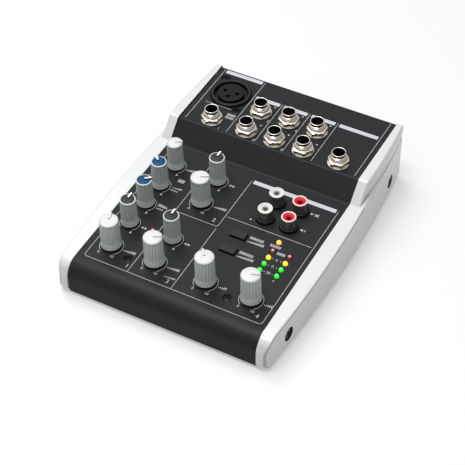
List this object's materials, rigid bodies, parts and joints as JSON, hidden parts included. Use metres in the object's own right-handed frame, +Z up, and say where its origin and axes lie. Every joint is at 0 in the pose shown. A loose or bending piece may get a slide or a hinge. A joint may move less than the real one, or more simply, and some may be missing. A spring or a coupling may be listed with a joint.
{
  "type": "mixing console",
  "caption": "Compact desktop audio mixer: sloping control deck with rotary knobs, push buttons and meter LEDs, raised connector deck with jack and XLR sockets, side cheeks.",
  "frame": {"origin": "middle of the case's footprint, on the surface that the feet stand on", "axes": "+X to the right, +Y towards the back with the raised connector deck, +Z up"},
  "size_m": [0.1362, 0.1762, 0.0465],
  "materials": {
    "panel_paint": "fine matt texture",
    "pan_steel": "matt",
    "cheek_silver": "satin silver",
    "circuit_board": "solder mask",
    "black_plastic": "satin",
    "socket_black": "satin",
    "socket_steel": "plated",
    "black_screw": "black zinc",
    "foot_rubber": "matt",
    "jack_nickel": "bright nickel",
    "knob_grey": "moulded grey",
    "knob_grey_light": "moulded light grey",
    "shaft_steel": "turned",
    "cap_white": "moulded",
    "cap_blue": "moulded",
    "cap_dark": "moulded",
    "panel_print": "screen print",
    "print_bar": "screen print",
    "rca_white": "moulded",
    "rca_red": "moulded",
    "rca_metal": "plated",
    "led_amber": "lit lens",
    "led_yellow": "lit lens",
    "led_green": "lit lens",
    "led_red": "unlit lens",
    "ribbon_grey": "flat cable"
  },
  "bodies": {
    "case": {"top_panel": "panel_paint", "bottom_pan": "pan_steel", "left_cheek": "cheek_silver", "right_cheek": "cheek_silver", "main_board": "circuit_board", "jack_board": "circuit_board", "rca_block": "black_plastic", "xlr_socket": "socket_black", "usb_socket": "socket_steel", "power_inlet": "black_plastic", "left_front_cheek_screw": "black_screw", "left_rear_cheek_screw": "black_screw", "right_front_cheek_screw": "black_screw", "right_rear_cheek_screw": "black_screw", "left_front_foot": "foot_rubber", "left_rear_foot": "foot_rubber", "right_front_foot": "foot_rubber", "right_rear_foot": "foot_rubber", "left_panel_screw": "black_screw", "right_panel_screw": "black_screw", "line_1_jack": "jack_nickel", "line_2_jack": "jack_nickel", "line_3_jack": "jack_nickel", "line_4_jack": "jack_nickel", "line_5_jack": "jack_nickel", "left_output_jack": "jack_nickel", "right_output_jack": "jack_nickel", "phones_jack": "jack_nickel", "line_1_jack_nut": "jack_nickel", "line_2_jack_nut": "jack_nickel", "line_3_jack_nut": "jack_nickel", "line_4_jack_nut": "jack_nickel", "line_5_jack_nut": "jack_nickel", "left_output_jack_nut": "jack_nickel", "right_output_jack_nut": "jack_nickel", "phones_jack_nut": "jack_nickel"},
    "gain_control": {"gain_knob": "knob_grey", "gain_shaft": "shaft_steel"},
    "high_control": {"high_knob": "knob_grey", "high_shaft": "shaft_steel"},
    "low_control": {"low_knob": "knob_grey", "low_shaft": "shaft_steel"},
    "pan_control": {"pan_knob": "knob_grey", "pan_shaft": "shaft_steel"},
    "level_1_control": {"level_1_knob": "knob_grey", "level_1_shaft": "shaft_steel"},
    "balance_2_3_control": {"balance_2_3_knob": "knob_grey", "balance_2_3_shaft": "shaft_steel"},
    "level_2_3_control": {"level_2_3_knob": "knob_grey", "level_2_3_shaft": "shaft_steel"},
    "balance_4_5_control": {"balance_4_5_knob": "knob_grey", "balance_4_5_shaft": "shaft_steel"},
    "level_4_5_control": {"level_4_5_knob": "knob_grey", "level_4_5_shaft": "shaft_steel"},
    "phones_level_control": {"phones_level_knob": "knob_grey", "phones_level_shaft": "shaft_steel"},
    "main_level_control": {"main_level_knob": "knob_grey", "main_level_shaft": "shaft_steel"},
    "phones_switch": {"phones_switch_button": "black_plastic"},
    "main_switch": {"main_switch_button": "black_plastic"}
  },
  "joints": [
    {"name": "gain_turn", "type": "hinge", "parent": "case", "child": "gain_control", "pos_m": [-0.0443, 0.00737, 0.02551], "axis": [0, -0.0513, 0.9987], "range_deg": [-90, 210]},
    {"name": "high_turn", "type": "hinge", "parent": "case", "child": "high_control", "pos_m": [-0.0443, -0.0102, 0.02461], "axis": [0, -0.0513, 0.9987], "range_deg": [-210, 90]},
    {"name": "low_turn", "type": "hinge", "parent": "case", "child": "low_control", "pos_m": [-0.0443, -0.02658, 0.02377], "axis": [0, -0.0513, 0.9987], "range_deg": [-98, 202]},
    {"name": "pan_turn", "type": "hinge", "parent": "case", "child": "pan_control", "pos_m": [-0.0443, -0.04366, 0.02289], "axis": [0, -0.0513, 0.9987], "range_deg": [-150, 150]},
    {"name": "level_1_turn", "type": "hinge", "parent": "case", "child": "level_1_control", "pos_m": [-0.0443, -0.06313, 0.02189], "axis": [0, -0.0513, 0.9987], "range_deg": [-165, 135]},
    {"name": "balance_2_3_turn", "type": "hinge", "parent": "case", "child": "balance_2_3_control", "pos_m": [-0.0169, 0.00737, 0.02551], "axis": [0, -0.0513, 0.9987], "range_deg": [-150, 150]},
    {"name": "level_2_3_turn", "type": "hinge", "parent": "case", "child": "level_2_3_control", "pos_m": [-0.0169, -0.0119, 0.02452], "axis": [0, -0.0513, 0.9987], "range_deg": [-90, 210]},
    {"name": "balance_4_5_turn", "type": "hinge", "parent": "case", "child": "balance_4_5_control", "pos_m": [-0.0169, -0.04366, 0.02289], "axis": [0, -0.0513, 0.9987], "range_deg": [-150, 150]},
    {"name": "level_4_5_turn", "type": "hinge", "parent": "case", "child": "level_4_5_control", "pos_m": [-0.0169, -0.06313, 0.02189], "axis": [0, -0.0513, 0.9987], "range_deg": [-90, 210]},
    {"name": "phones_level_turn", "type": "hinge", "parent": "case", "child": "phones_level_control", "pos_m": [0.0145, -0.06313, 0.02189], "axis": [0, -0.0513, 0.9987], "range_deg": [-188, 112]},
    {"name": "main_level_turn", "type": "hinge", "parent": "case", "child": "main_level_control", "pos_m": [0.0419, -0.06313, 0.02189], "axis": [0, -0.0513, 0.9987], "range_deg": [-83, 217]},
    {"name": "phones_switch_press", "type": "slide", "parent": "case", "child": "phones_switch", "axis": [0, 0.0513, -0.9987], "range_m": [0, 0.0018], "stiffness_N_per_m": 120, "springref_m": -0.0008},
    {"name": "main_switch_press", "type": "slide", "parent": "case", "child": "main_switch", "axis": [0, 0.0513, -0.9987], "range_m": [0, 0.0018], "stiffness_N_per_m": 120, "springref_m": -0.0008}
  ]
}
